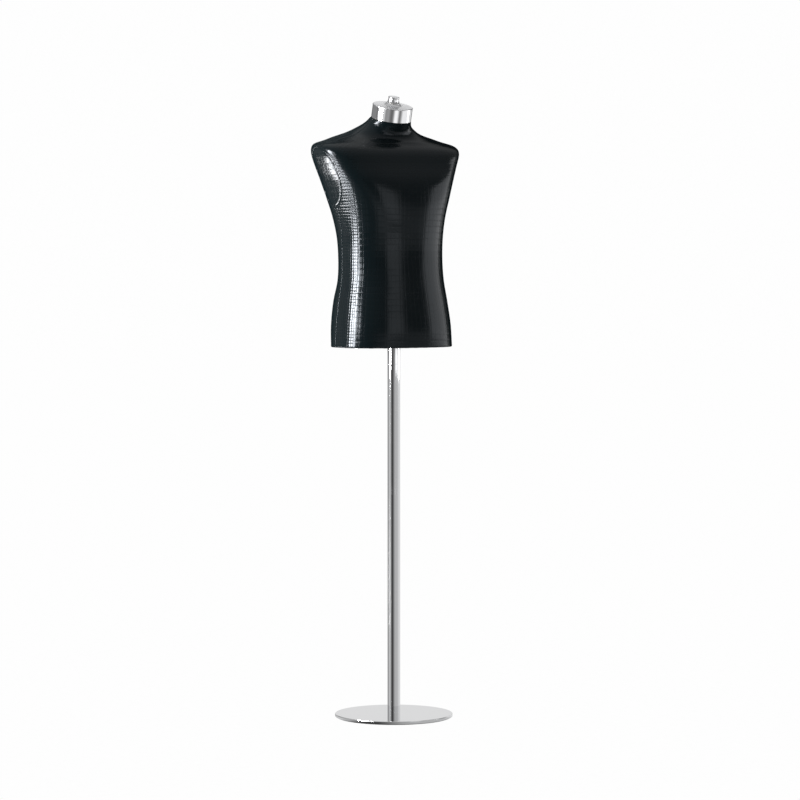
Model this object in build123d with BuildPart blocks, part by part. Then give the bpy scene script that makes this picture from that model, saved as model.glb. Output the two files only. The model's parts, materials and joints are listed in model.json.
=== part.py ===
from build123d import *
from collections import namedtuple
from math import atan2, cos, degrees, hypot, pi, radians, sin
import os

# Dress form mannequin: a leather covered male torso that lifts off and turns on a chrome pole, over a
# round chrome base. The floor is z = 0, the pole's axis is the Z axis, the chest faces -Y and the
# torso's left shoulder points to +X. Millimetres throughout.

os.makedirs("parts", exist_ok=True)

# ---------------------------------------------------------------- driving dimensions
BASE_RADIUS = 165
PAD_THICKNESS = 2
PLATE_THICKNESS = 8
POLE_RADIUS = 18
POLE_WALL = 1.5
SOCKET_WALL = 2.5
RUNNING_GAP = 0.05  # radial clearance of every turning or sliding fit
HEM_HEIGHT = 1038
POLE_INTO_TORSO = 175
LEATHER = 1.0
GLUE_GAP = 0.3
SHELL_WALL = 4
HEM_FOLD = 18  # width of leather turned under the hem
HEM_BOARD_THICKNESS = 12
SEAM_GAP = 0.2
SIDE_SEAM_Y = 30  # one upright plane holds the side seams and the shoulder seams
COLLAR_RADIUS = 56
COLLAR_WALL = 2
COLLAR_HEIGHT = 36
NECK_LEAN = 15

Station = namedtuple("Station", "height half_width centre half_depth squareness lean")
# Cross sections of the leather's outer face. Each is a superellipse centred on x = 0, y = centre.
STATIONS = [
    Station(HEM_HEIGHT, 171, 12, 123, 2.6, 0),  # hem
    Station(1100, 167, 16, 128, 2.6, 0),  # seat
    Station(1165, 159, 19, 122, 2.6, 0),
    Station(1225, 150, 17, 112, 2.5, 0),
    Station(1285, 148, 19, 107, 2.5, 0),  # waist
    Station(1345, 149, 22, 111, 2.6, 0),
    Station(1400, 156, 27, 120, 2.7, 0),
    Station(1450, 168, 32, 126, 2.9, 0),  # armpit
    Station(1500, 183, 38, 124, 3.2, 0),  # chest
    Station(1545, 202, 44, 112, 3.4, 0),
    Station(1575, 214, 46, 102, 3.5, 0),
    Station(1592, 215, 50, 94, 3.4, 1),  # shoulder tips
    Station(1602, 208, 55, 89, 3.0, 2),
    Station(1611, 181, 57, 84, 2.6, 3),
    Station(1621, 152, 58, 78, 2.3, 5),
    Station(1633, 112, 55, 71, 2.2, 7),
    Station(1645, 87, 46, 64, 2.1, 9),
    Station(1658, 67, 32, 59, 2.0, 12),
    Station(1673, COLLAR_RADIUS, 15, COLLAR_RADIUS, 2.0, NECK_LEAN),  # neck, under the collar
]
OUTLINE_POINTS = 40
SECTION_SPACING = 14  # along the side profile
STEEPEST = 3.5  # the most that a sloping shoulder wall is thickened along its section

ARMHOLE_CENTRE = (46, 1512)  # y and z
ARMHOLE_RADII = (60, 82)  # along y and z
ARMHOLE_START = 90  # the armhole cut begins this far from the middle of the torso

# ---------------------------------------------------------------- heights and radii that follow
BASE_TOP = PAD_THICKNESS + PLATE_THICKNESS
POLE_BORE = POLE_RADIUS - POLE_WALL
SOCKET_BORE = POLE_RADIUS + RUNNING_GAP
SOCKET_RADIUS = SOCKET_BORE + SOCKET_WALL
SHELL_OUTSIDE = LEATHER + GLUE_GAP
SHELL_INSIDE = SHELL_OUTSIDE + SHELL_WALL
BOARD_BOTTOM = HEM_HEIGHT + SHELL_OUTSIDE
BOARD_TOP = BOARD_BOTTOM + HEM_BOARD_THICKNESS
POLE_TOP = HEM_HEIGHT + POLE_INTO_TORSO
TOP_CAP_RIM = 3
THRUST_DISC_THICKNESS = 3
SLIDING_RADIUS = POLE_RADIUS - 0.1  # nylon parts that pass down the socket's bore
PLUG_THICKNESS = 10
SOCKET_END = POLE_TOP + THRUST_DISC_THICKNESS + PLUG_THICKNESS

neck = STATIONS[-1]
NECK_ORIGIN = (0, neck.centre, neck.height)
NECK_DIRECTION = (0, -sin(radians(NECK_LEAN)), cos(radians(NECK_LEAN)))
NECK_AXIS = Axis(NECK_ORIGIN, NECK_DIRECTION)
# On this plane x is the radius from the neck's axis and y is the height along it.
NECK_SECTION = Plane(
    origin=NECK_ORIGIN,
    x_dir=(1, 0, 0),
    z_dir=(0, -cos(radians(NECK_LEAN)), -sin(radians(NECK_LEAN))),
)


def finish(piece, name):
    """Labels a finished piece and writes its file."""
    piece.label = name
    export_step(piece, f"parts/{name}.step")


# ---------------------------------------------------------------- shared shapes
def outline(half_width, half_depth, squareness):
    """A superellipse about the origin, begun at the middle of the back.

    Its points and their parameters are evenly turned, so all outlines match point for point.
    """
    points = []
    for step in range(OUTLINE_POINTS):
        turn = pi / 2 + 2 * pi * step / OUTLINE_POINTS
        across = abs(cos(turn)) / half_width
        along = abs(sin(turn)) / half_depth
        reach = (across**squareness + along**squareness) ** (-1 / squareness)
        points.append((reach * cos(turn), reach * sin(turn)))
    even_steps = [step / OUTLINE_POINTS for step in range(OUTLINE_POINTS + 1)]
    return Edge.make_spline(points, periodic=True, parameters=even_steps)


def section_plane(section):
    """The plane of a cross section, which leans forward near the neck."""
    lean = radians(section.lean)
    return Plane(
        origin=(0, section.centre, section.height),
        x_dir=(1, 0, 0),
        z_dir=(0, -sin(lean), cos(lean)),
    )


def smooth_sections():
    """Sections evenly spaced along the side profile, on a smooth curve through the stations.

    One more at each end carries straight on, past the hem and past the neck.
    """
    reached = [0]
    for below, above in zip(STATIONS, STATIONS[1:]):
        step = hypot(above.height - below.height, above.half_width - below.half_width)
        reached.append(reached[-1] + step)
    slopes = []
    for index in range(len(STATIONS)):
        low, high = max(index - 1, 0), min(index + 1, len(STATIONS) - 1)
        run = reached[high] - reached[low]
        slopes.append([(after - before) / run for before, after in zip(STATIONS[low], STATIONS[high])])
    count = round(reached[-1] / SECTION_SPACING)
    sections = []
    index = 0
    for number in range(count + 1):
        wanted = reached[-1] * number / count
        while index < len(STATIONS) - 2 and wanted > reached[index + 1]:
            index += 1
        run = reached[index + 1] - reached[index]
        share = (wanted - reached[index]) / run
        rest = 1 - share
        values = [
            start * rest**2 * (1 + 2 * share)
            + end * share**2 * (1 + 2 * rest)
            + run * share * rest * (rest * leaving - share * arriving)
            for start, end, leaving, arriving in zip(
                STATIONS[index], STATIONS[index + 1], slopes[index], slopes[index + 1]
            )
        ]
        sections.append(Station(*values))
    beyond_hem = [2 * end - inner for end, inner in zip(sections[0], sections[1])]
    beyond_neck = [2 * end - inner for end, inner in zip(sections[-1], sections[-2])]
    return [Station(*beyond_hem), *sections, Station(*beyond_neck)]


SECTIONS = smooth_sections()


def edge_point(section, side):
    """The front (side -1) or back (side 1) point of a section, as (y, z)."""
    lean = radians(section.lean)
    return (
        section.centre + side * section.half_depth * cos(lean),
        section.height + side * section.half_depth * sin(lean),
    )


def steepening(inward, along):
    """How much further a wall is, measured along inward, than square to a face that runs along."""
    across = abs(inward[0] * along[1] - inward[1] * along[0])
    return min(hypot(*along) / across, STEEPEST)


def inset_section(index, inset):
    """One section drawn in so that the wall is inset thick, square to the leather."""
    here = SECTIONS[index]
    below, above = SECTIONS[max(index - 1, 0)], SECTIONS[min(index + 1, len(SECTIONS) - 1)]
    lean = radians(here.lean)
    rising = (above.half_width - below.half_width, above.height - below.height)
    side_wall = inset * steepening((1, 0), rising)
    end_walls = []
    for side in (-1, 1):
        low, high = edge_point(below, side), edge_point(above, side)
        along = (high[0] - low[0], high[1] - low[1])
        end_walls.append(inset * steepening((cos(lean), sin(lean)), along))
    front_wall, back_wall = end_walls
    return here._replace(
        half_width=here.half_width - side_wall,
        centre=here.centre + (front_wall - back_wall) / 2,
        half_depth=here.half_depth - (front_wall + back_wall) / 2,
    )


def torso_form(inset, bottom=None, cut_at_neck=False):
    """The torso as one smooth solid, inset from the leather's outer face.

    It runs on past the hem and the neck unless it is cut at the height bottom and at the neck.
    """
    with BuildPart() as form:
        for index in range(len(SECTIONS)):
            section = inset_section(index, inset)
            with BuildSketch(section_plane(section)):
                with BuildLine():
                    add(outline(section.half_width, section.half_depth, section.squareness))
                make_face()
        loft()
        if bottom is not None:
            split(bisect_by=Plane.XY.offset(bottom), keep=Keep.TOP)
        if cut_at_neck:
            split(bisect_by=Plane(NECK_ORIGIN, z_dir=NECK_DIRECTION), keep=Keep.BOTTOM)
    return form.part


def hem_slab(inset, bottom, thickness):
    """A flat board with the hem's outline, inset from the leather's outer face."""
    hem = STATIONS[0]
    with BuildPart() as slab:
        with BuildSketch(Plane((0, hem.centre, bottom))):
            with BuildLine():
                add(outline(hem.half_width - inset, hem.half_depth - inset, hem.squareness))
            make_face()
        extrude(amount=thickness)
    return slab.part


def turned_on_neck(profile_points):
    """A piece turned about the neck's axis from a closed outline of (radius, height) points."""
    with BuildPart() as turned:
        with BuildSketch(NECK_SECTION):
            with BuildLine():
                Polyline(*profile_points, close=True)
            make_face()
        revolve(axis=NECK_AXIS)
    return turned.part


# ---------------------------------------------------------------- stand: base
PLATE_BOLT_RADIUS = 6
BOLT_HEAD_RADIUS = 12
BOLT_LENGTH = 30
BOLT_DRIVE_RADIUS = 4.6
BOLT_DRIVE_DEPTH = 4
PAD_INSET = 5
FOOT_PLUG_LENGTH = 28
SINK_DEPTH = BOLT_HEAD_RADIUS - PLATE_BOLT_RADIUS  # a 90 degree countersink

with BuildPart() as base_pad:
    with BuildSketch():
        Circle(BASE_RADIUS - PAD_INSET)
        Circle(BOLT_HEAD_RADIUS + 3, mode=Mode.SUBTRACT)
    extrude(amount=PAD_THICKNESS)
finish(base_pad.part, "base_pad")

with BuildPart() as base_plate:
    with BuildSketch(Plane.XY.offset(PAD_THICKNESS)):
        Circle(BASE_RADIUS)
    extrude(amount=PLATE_THICKNESS)
    rims = base_plate.edges().filter_by(GeomType.CIRCLE)
    fillet(rims.sort_by(Axis.Z)[-1], 2)
    fillet(rims.sort_by(Axis.Z)[0], 1)
    with BuildSketch(Plane.XZ):
        with BuildLine():
            Polyline(
                (0, PAD_THICKNESS),
                (BOLT_HEAD_RADIUS, PAD_THICKNESS),
                (PLATE_BOLT_RADIUS, PAD_THICKNESS + SINK_DEPTH),
                (PLATE_BOLT_RADIUS, BASE_TOP),
                (0, BASE_TOP),
                close=True,
            )
        make_face()
    revolve(axis=Axis.Z, mode=Mode.SUBTRACT)
finish(base_plate.part, "base_plate")

with BuildPart() as pole_bolt:
    with BuildSketch(Plane.XZ):
        with BuildLine():
            Polyline(
                (0, PAD_THICKNESS),
                (BOLT_HEAD_RADIUS, PAD_THICKNESS),
                (PLATE_BOLT_RADIUS, PAD_THICKNESS + SINK_DEPTH),
                (PLATE_BOLT_RADIUS, PAD_THICKNESS + BOLT_LENGTH - 1),
                (PLATE_BOLT_RADIUS - 1, PAD_THICKNESS + BOLT_LENGTH),
                (0, PAD_THICKNESS + BOLT_LENGTH),
                close=True,
            )
        make_face()
    revolve(axis=Axis.Z)
    with BuildSketch(Plane.XY.offset(PAD_THICKNESS)):
        RegularPolygon(BOLT_DRIVE_RADIUS, 6)
    extrude(amount=BOLT_DRIVE_DEPTH, mode=Mode.SUBTRACT)
finish(pole_bolt.part, "pole_bolt")

# ---------------------------------------------------------------- stand: pole
with BuildPart() as pole_foot_plug:
    with BuildSketch(Plane.XY.offset(BASE_TOP)):
        Circle(POLE_BORE)
        Circle(PLATE_BOLT_RADIUS, mode=Mode.SUBTRACT)
    extrude(amount=FOOT_PLUG_LENGTH)
    chamfer(pole_foot_plug.edges().filter_by(GeomType.CIRCLE).sort_by(Axis.Z)[-1], 1)
finish(pole_foot_plug.part, "pole_foot_plug")

with BuildPart() as pole_tube:
    with BuildSketch(Plane.XY.offset(BASE_TOP)):
        Circle(POLE_RADIUS)
        Circle(POLE_BORE, mode=Mode.SUBTRACT)
    extrude(amount=POLE_TOP - TOP_CAP_RIM - BASE_TOP)
finish(pole_tube.part, "pole_tube")

TOP_CAP_SKIRT = 18
with BuildPart() as pole_top_cap:
    with BuildSketch(Plane.XY.offset(POLE_TOP - TOP_CAP_RIM)):
        Circle(SLIDING_RADIUS)
    extrude(amount=TOP_CAP_RIM)
    with BuildSketch(Plane.XY.offset(POLE_TOP - TOP_CAP_RIM)):
        Circle(POLE_BORE)
    extrude(amount=-TOP_CAP_SKIRT)
    chamfer(pole_top_cap.faces().sort_by(Axis.Z)[-1].edges(), 0.5)
finish(pole_top_cap.part, "pole_top_cap")

with BuildPart() as thrust_disc:
    with BuildSketch(Plane.XY.offset(POLE_TOP)):
        Circle(SLIDING_RADIUS)
    extrude(amount=THRUST_DISC_THICKNESS)
finish(thrust_disc.part, "thrust_disc")

# ---------------------------------------------------------------- torso: socket on the pole
FLANGE_RADIUS = 50
FLANGE_THICKNESS = 3
FLANGE_HOLE_CIRCLE = 37
SCREW_RADIUS = 2
SCREW_HEAD_RADIUS = 4
SCREW_LENGTH = 13
FLANGE_BOTTOM = BOARD_BOTTOM - FLANGE_THICKNESS
SCREW_SINK = SCREW_HEAD_RADIUS - SCREW_RADIUS

with BuildPart() as socket_tube:
    with BuildSketch(Plane.XY.offset(FLANGE_BOTTOM)):
        Circle(SOCKET_RADIUS)
        Circle(SOCKET_BORE, mode=Mode.SUBTRACT)
    extrude(amount=SOCKET_END - FLANGE_BOTTOM)
finish(socket_tube.part, "socket_tube")

with BuildPart() as socket_top_plug:
    with BuildSketch(Plane.XY.offset(POLE_TOP + THRUST_DISC_THICKNESS)):
        Circle(SOCKET_BORE)
    extrude(amount=PLUG_THICKNESS)
finish(socket_top_plug.part, "socket_top_plug")

# One countersunk wood screw, standing on the flange's lower face.
with BuildPart(mode=Mode.PRIVATE) as flange_screw:
    with BuildSketch(Plane.XZ):
        with BuildLine():
            Polyline(
                (0, 0),
                (SCREW_HEAD_RADIUS, 0),
                (SCREW_RADIUS, SCREW_SINK),
                (SCREW_RADIUS, SCREW_LENGTH - 2),
                (0.5, SCREW_LENGTH),
                (0, SCREW_LENGTH),
                close=True,
            )
        make_face()
    revolve(axis=Axis.Z)

FLANGE_SCREW_PLACES = PolarLocations(FLANGE_HOLE_CIRCLE, 4, start_angle=45).locations

with BuildPart() as flange_screws:
    for place in FLANGE_SCREW_PLACES:
        add(flange_screw.part.moved(Pos(0, 0, FLANGE_BOTTOM) * place))
finish(flange_screws.part, "flange_screws")

with BuildPart() as socket_flange:
    with BuildSketch(Plane.XY.offset(FLANGE_BOTTOM)):
        Circle(FLANGE_RADIUS)
        Circle(SOCKET_RADIUS, mode=Mode.SUBTRACT)
    extrude(amount=FLANGE_THICKNESS)
    add(flange_screws.part, mode=Mode.SUBTRACT)
finish(socket_flange.part, "socket_flange")

# ---------------------------------------------------------------- torso: hem board and shell
BOARD_GAP = 1.5  # filled with glue; the shell narrows a little above the hem
BOARD_HOLE_GAP = 0.5

with BuildPart() as hem_board:
    add(hem_slab(SHELL_INSIDE + BOARD_GAP, BOARD_BOTTOM, HEM_BOARD_THICKNESS))
    with BuildSketch(Plane.XY.offset(BOARD_BOTTOM)):
        Circle(SOCKET_RADIUS + BOARD_HOLE_GAP)
    extrude(amount=HEM_BOARD_THICKNESS, mode=Mode.SUBTRACT)
    add(flange_screws.part, mode=Mode.SUBTRACT)
finish(hem_board.part, "hem_board")

with BuildPart() as torso_shell:
    add(torso_form(SHELL_OUTSIDE, BOARD_BOTTOM, cut_at_neck=True))
    add(torso_form(SHELL_INSIDE), mode=Mode.SUBTRACT)
finish(torso_shell.part, "torso_shell")

# ---------------------------------------------------------------- torso: leather cover
cover_outside = torso_form(0, HEM_HEIGHT, cut_at_neck=True)
cover_lining = torso_form(LEATHER, HEM_HEIGHT + LEATHER)
cover_opening = hem_slab(HEM_FOLD, HEM_HEIGHT - 1, LEATHER + 2)
cover_skin = cover_outside - cover_lining - cover_opening


def armhole_cutter(gap):
    """An oval bar along X that bounds the left armhole panel, thinner all round by gap."""
    with BuildPart() as cutter:
        with BuildSketch(Plane.YZ.offset(ARMHOLE_START)):
            with Locations(ARMHOLE_CENTRE):
                Ellipse(ARMHOLE_RADII[0] - gap, ARMHOLE_RADII[1] - gap)
        extrude(amount=2 * ARMHOLE_START)
    return cutter.part


left_armhole_hole = armhole_cutter(0)
right_armhole_hole = left_armhole_hole.mirror(Plane.YZ)
HALF_REACH = 400  # longer than any half of the torso

with BuildPart() as armhole_cover_left:
    add(cover_skin)
    add(armhole_cutter(SEAM_GAP), mode=Mode.INTERSECT)
finish(armhole_cover_left.part, "armhole_cover_left")

with BuildPart() as armhole_cover_right:
    add(cover_skin)
    add(armhole_cutter(SEAM_GAP).mirror(Plane.YZ), mode=Mode.INTERSECT)
finish(armhole_cover_right.part, "armhole_cover_right")

for name, side in (("cover_front", -1), ("cover_back", 1)):
    with BuildPart() as cover_panel:
        add(cover_skin)
        add(left_armhole_hole, mode=Mode.SUBTRACT)
        add(right_armhole_hole, mode=Mode.SUBTRACT)
        with BuildSketch(Plane.XZ.offset(-SIDE_SEAM_Y - side * SEAM_GAP / 2)):
            with Locations((0, (HEM_HEIGHT + neck.height) / 2)):
                Rectangle(2 * HALF_REACH, 2 * HALF_REACH)
        extrude(amount=-side * HALF_REACH, mode=Mode.INTERSECT)
    finish(cover_panel.part, name)

# ---------------------------------------------------------------- torso: staples of the hem fold
STAPLE_COUNT = 24
STAPLE_WIDTH = 12
STAPLE_WIRE = 0.7
STAPLE_LEG = 8
STAPLE_INSET = 12  # from the leather's outer face

hem = STATIONS[0]
with BuildPart() as hem_staples:
    for step in range(STAPLE_COUNT):
        turn = 2 * pi * (step + 0.5) / STAPLE_COUNT
        half_width = hem.half_width - STAPLE_INSET
        half_depth = hem.half_depth - STAPLE_INSET
        across = abs(cos(turn)) / half_width
        along = abs(sin(turn)) / half_depth
        reach = (across**hem.squareness + along**hem.squareness) ** (-1 / hem.squareness)
        x, y = reach * cos(turn), reach * sin(turn)
        # the outline's normal, from the superellipse's gradient
        facing = atan2(
            y / abs(y) * along ** (hem.squareness - 1) / half_depth,
            x / abs(x) * across ** (hem.squareness - 1) / half_width,
        )
        place = Location((x, y + hem.centre, HEM_HEIGHT), (0, 0, degrees(facing) + 90))
        with Locations(place):
            with Locations((0, 0, -STAPLE_WIRE / 2)):
                Box(STAPLE_WIDTH, STAPLE_WIRE, STAPLE_WIRE)
            with Locations(
                (STAPLE_WIDTH / 2 - STAPLE_WIRE / 2, 0, STAPLE_LEG / 2),
                (STAPLE_WIRE / 2 - STAPLE_WIDTH / 2, 0, STAPLE_LEG / 2),
            ):
                Box(STAPLE_WIRE, STAPLE_WIRE, STAPLE_LEG)
finish(hem_staples.part, "hem_staples")

# ---------------------------------------------------------------- neck: block, insert and collar
SPIGOT_RADIUS = 34
SPIGOT_DEPTH = 12
SPIGOT_FLOOR = 3
BLOCK_TOP = 34
BLOCK_RADIUS = COLLAR_RADIUS - COLLAR_WALL - 0.1
STUD_RADIUS = 4
STUD_BORE = STUD_RADIUS + RUNNING_GAP
INSERT_RADIUS = 7
INSERT_BOTTOM = 6

neck_block = turned_on_neck(
    [
        (0, -SPIGOT_DEPTH),
        (SPIGOT_RADIUS, -SPIGOT_DEPTH),
        (SPIGOT_RADIUS, 0),
        (BLOCK_RADIUS, 0),
        (BLOCK_RADIUS, BLOCK_TOP - 1),
        (BLOCK_RADIUS - 1, BLOCK_TOP),
        (INSERT_RADIUS, BLOCK_TOP),
        (INSERT_RADIUS, INSERT_BOTTOM),
        (STUD_BORE, INSERT_BOTTOM),
        (STUD_BORE, SPIGOT_FLOOR - SPIGOT_DEPTH),
        (0, SPIGOT_FLOOR - SPIGOT_DEPTH),
    ]
)
finish(neck_block, "neck_block")

neck_insert = turned_on_neck(
    [
        (STUD_BORE, INSERT_BOTTOM),
        (INSERT_RADIUS, INSERT_BOTTOM),
        (INSERT_RADIUS, BLOCK_TOP),
        (STUD_BORE, BLOCK_TOP),
    ]
)
finish(neck_insert, "neck_insert")

collar_bore = COLLAR_RADIUS - COLLAR_WALL
collar_edge = 0.5
neck_collar = turned_on_neck(
    [
        (collar_bore, 0),
        (COLLAR_RADIUS - collar_edge, 0),
        (COLLAR_RADIUS, collar_edge),
        (COLLAR_RADIUS, COLLAR_HEIGHT - collar_edge),
        (COLLAR_RADIUS - collar_edge, COLLAR_HEIGHT),
        (collar_bore, COLLAR_HEIGHT),
    ]
)
finish(neck_collar, "neck_collar")

# ---------------------------------------------------------------- neck: spun cap
CAP_RADIUS = COLLAR_RADIUS + 0.6
CAP_RIM = 2.5
CAP_SHEET = 1.6
CROWN_HEIGHT = 46  # of the flat that the knob's washer lies on
CROWN_RADIUS = 19
FLARE_RADIUS = 30
FLARE_HEIGHT = COLLAR_HEIGHT + 4
CAP_HOLE = STUD_RADIUS + 0.3
EDGE_MIDDLE = 1 - cos(pi / 4)  # how far a quarter round's middle is from the corner, per radius

with BuildPart() as neck_cap:
    with BuildSketch(NECK_SECTION):
        with BuildLine():
            Polyline(
                (CAP_HOLE, CROWN_HEIGHT - CAP_SHEET),
                (CAP_HOLE, CROWN_HEIGHT),
                (CROWN_RADIUS, CROWN_HEIGHT),
            )
            ThreePointArc(
                (CROWN_RADIUS, CROWN_HEIGHT),
                (CROWN_RADIUS + 3, FLARE_HEIGHT + 1.4),
                (FLARE_RADIUS, FLARE_HEIGHT),
            )
            Line((FLARE_RADIUS, FLARE_HEIGHT), (CAP_RADIUS - CAP_RIM, COLLAR_HEIGHT + CAP_RIM))
            ThreePointArc(
                (CAP_RADIUS - CAP_RIM, COLLAR_HEIGHT + CAP_RIM),
                (CAP_RADIUS - CAP_RIM * EDGE_MIDDLE, COLLAR_HEIGHT + CAP_RIM * (1 - EDGE_MIDDLE)),
                (CAP_RADIUS, COLLAR_HEIGHT),
            )
            Polyline(
                (CAP_RADIUS, COLLAR_HEIGHT),
                (collar_bore, COLLAR_HEIGHT),
                (collar_bore - 2, COLLAR_HEIGHT + 0.8),
                (FLARE_RADIUS - 1, FLARE_HEIGHT - CAP_SHEET),
            )
            ThreePointArc(
                (FLARE_RADIUS - 1, FLARE_HEIGHT - CAP_SHEET),
                (CROWN_RADIUS + 1.6, FLARE_HEIGHT),
                (CROWN_RADIUS - CAP_SHEET, CROWN_HEIGHT - CAP_SHEET),
            )
            Line((CROWN_RADIUS - CAP_SHEET, CROWN_HEIGHT - CAP_SHEET), (CAP_HOLE, CROWN_HEIGHT - CAP_SHEET))
        make_face()
    revolve(axis=NECK_AXIS)
finish(neck_cap.part, "neck_cap")

# ---------------------------------------------------------------- neck: knob that unscrews
WASHER_THICKNESS = 1
WASHER_RADIUS = 12
KNOB_BOTTOM = CROWN_HEIGHT + WASHER_THICKNESS
KNOB_TOP = 63.5
KNOB_FOOT_RADIUS = 17.5
KNOB_TOP_RADIUS = 15.5
KNOB_EDGE = 2.5
STUD_BOTTOM = 0
STUD_TOP = KNOB_BOTTOM + 10

knob_washer = turned_on_neck(
    [
        (STUD_BORE, CROWN_HEIGHT),
        (WASHER_RADIUS, CROWN_HEIGHT),
        (WASHER_RADIUS, KNOB_BOTTOM),
        (STUD_BORE, KNOB_BOTTOM),
    ]
)
finish(knob_washer, "knob_washer")

knob_stud = turned_on_neck(
    [
        (0, STUD_BOTTOM),
        (STUD_RADIUS - 1, STUD_BOTTOM),
        (STUD_RADIUS, STUD_BOTTOM + 1),
        (STUD_RADIUS, STUD_TOP),
        (0, STUD_TOP),
    ]
)
finish(knob_stud, "knob_stud")

with BuildPart() as neck_knob:
    with BuildSketch(NECK_SECTION):
        with BuildLine():
            Polyline(
                (0, STUD_TOP),
                (STUD_RADIUS, STUD_TOP),
                (STUD_RADIUS, KNOB_BOTTOM),
                (KNOB_FOOT_RADIUS, KNOB_BOTTOM),
            )
            ThreePointArc(
                (KNOB_FOOT_RADIUS, KNOB_BOTTOM),
                (KNOB_TOP_RADIUS - 0.5, (KNOB_BOTTOM + KNOB_TOP) / 2),
                (KNOB_TOP_RADIUS, KNOB_TOP - KNOB_EDGE),
            )
            ThreePointArc(
                (KNOB_TOP_RADIUS, KNOB_TOP - KNOB_EDGE),
                (KNOB_TOP_RADIUS - KNOB_EDGE * EDGE_MIDDLE, KNOB_TOP - KNOB_EDGE * EDGE_MIDDLE),
                (KNOB_TOP_RADIUS - KNOB_EDGE, KNOB_TOP),
            )
            Polyline((KNOB_TOP_RADIUS - KNOB_EDGE, KNOB_TOP), (0, KNOB_TOP), (0, STUD_TOP))
        make_face()
    revolve(axis=NECK_AXIS)
finish(neck_knob.part, "neck_knob")
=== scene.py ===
"""Looks of a dress form mannequin: glossy embossed leather on the torso, mirror chrome on the collar,
pole and base, and satin chrome on the cap and knob.

Metres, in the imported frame: floor at z = 0, pole axis on Z, chest towards -Y. A turn round the torso
counts from its left side, +X, towards its back, +Y.
"""

import json
from math import atan, cos, pi, radians, sin, tan

import bmesh
import bpy
import numpy as np
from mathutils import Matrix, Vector
from mathutils.bvhtree import BVHTree


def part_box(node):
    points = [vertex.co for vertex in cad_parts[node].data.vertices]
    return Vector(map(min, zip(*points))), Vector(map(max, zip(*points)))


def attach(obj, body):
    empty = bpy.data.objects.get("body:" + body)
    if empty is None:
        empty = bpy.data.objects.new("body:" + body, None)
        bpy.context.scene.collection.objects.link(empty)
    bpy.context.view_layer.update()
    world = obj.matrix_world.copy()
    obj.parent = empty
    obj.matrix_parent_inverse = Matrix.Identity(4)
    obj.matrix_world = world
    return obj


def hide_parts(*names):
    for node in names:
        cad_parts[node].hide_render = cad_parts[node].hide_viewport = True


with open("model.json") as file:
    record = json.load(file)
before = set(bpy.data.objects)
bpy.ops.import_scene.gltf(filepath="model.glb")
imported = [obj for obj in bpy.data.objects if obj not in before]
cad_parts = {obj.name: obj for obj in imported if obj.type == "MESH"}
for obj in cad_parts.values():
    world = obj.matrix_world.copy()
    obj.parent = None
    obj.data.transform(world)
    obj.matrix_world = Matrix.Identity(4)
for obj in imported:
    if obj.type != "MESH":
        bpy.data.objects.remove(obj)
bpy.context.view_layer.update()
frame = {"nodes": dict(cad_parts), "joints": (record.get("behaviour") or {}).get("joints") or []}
nodes = frame["nodes"]
joints = {joint["name"]: joint for joint in frame["joints"]}

# ---------------------------------------------------------------- sizes, in metres
MM = 0.001
COVER_NODES = ("cover_front", "cover_back", "armhole_cover_left", "armhole_cover_right")
NECK_AXIS = Vector(joints["knob_turn"]["axis"])
NECK_FOOT = Vector(joints["knob_turn"]["pos_m"])
NECK_LEAN = atan(-NECK_AXIS.y / NECK_AXIS.z)
HEM_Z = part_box("cover_front")[0].z
SIDE_SEAM_Y = (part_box("cover_front")[1].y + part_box("cover_back")[0].y) / 2
LEAN_START_Z = NECK_FOOT.z - 85 * MM  # rows of the skin lean forward from here up to the neck
TOP_Z = NECK_FOOT.z + (SIDE_SEAM_Y - NECK_FOOT.y) * tan(NECK_LEAN)
WAIST_Z = HEM_Z + 240 * MM
CHEST_TURN, BACK_TURN = 1.5 * pi, 0.5 * pi
FAR = 0.6  # beyond any point of the torso from its middle
TINY = 1e-12  # keeps a division from failing at zero

SKIN_TURNS = 480
SKIN_ROW = 2.5 * MM
SKIN_TOP_GAP = 0.3 * MM  # the rows end this far below TOP_Z
ROUGH_TURNS, ROUGH_ROWS = 48, 300  # a first reading of the skin, which spaces its rows
ROW_BY_LONGEST, ROW_BY_MEAN = 0.55, 0.45  # shares of a row's longest and mean step in its height
SKIN_SMOOTHING = 30
SMOOTH_BELOW_Z = LEAN_START_Z - 25 * MM  # the skin is eased more from here down
SMOOTH_FADE = 30 * MM
NECK_EASING, BODY_EASING = 0.3, 0.6  # of the neck, and what the body has on top

HEM_ROLL = 2.5 * MM
HEM_ROLL_STEPS = 5
HEM_FOLD = 17 * MM
HEM_FOLD_STEPS = 9
HEM_PLEAT = 0.35 * MM
PLEAT_SPACING = 3.1 * MM
PLEAT_DRIFT = 1.7  # the pleats' spacing swells and shrinks this much
PLEAT_DRIFT_SPACING = 23 * MM
HEM_RELIEF = 0.8  # the grooves are pressed nearly flat there
LEATHER_EDGE = 1.2 * MM  # how far a panel's cut edge turns in
SIDE_SEAM_WIDTH = 1.2 * MM
SIDE_SEAM_DEPTH = 0.35 * MM
SIDE_SEAM_AT_HEM = 0.25  # share of that depth
SIDE_SEAM_FADE = 6 * MM
ARMHOLE_SEAM_WIDTH = 3.2 * MM
ARMHOLE_SEAM_DEPTH = 0.8 * MM
ARMHOLE_MARGIN = 20 * MM  # of the grids that the armhole panels are cut from
ARMHOLE_REACH = 125 * MM
ARMHOLES_BEYOND = 90 * MM  # both lie further than this from the middle plane
NO_ARMHOLE = 1.0  # the distance to an armhole that is given on the chest and back

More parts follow.
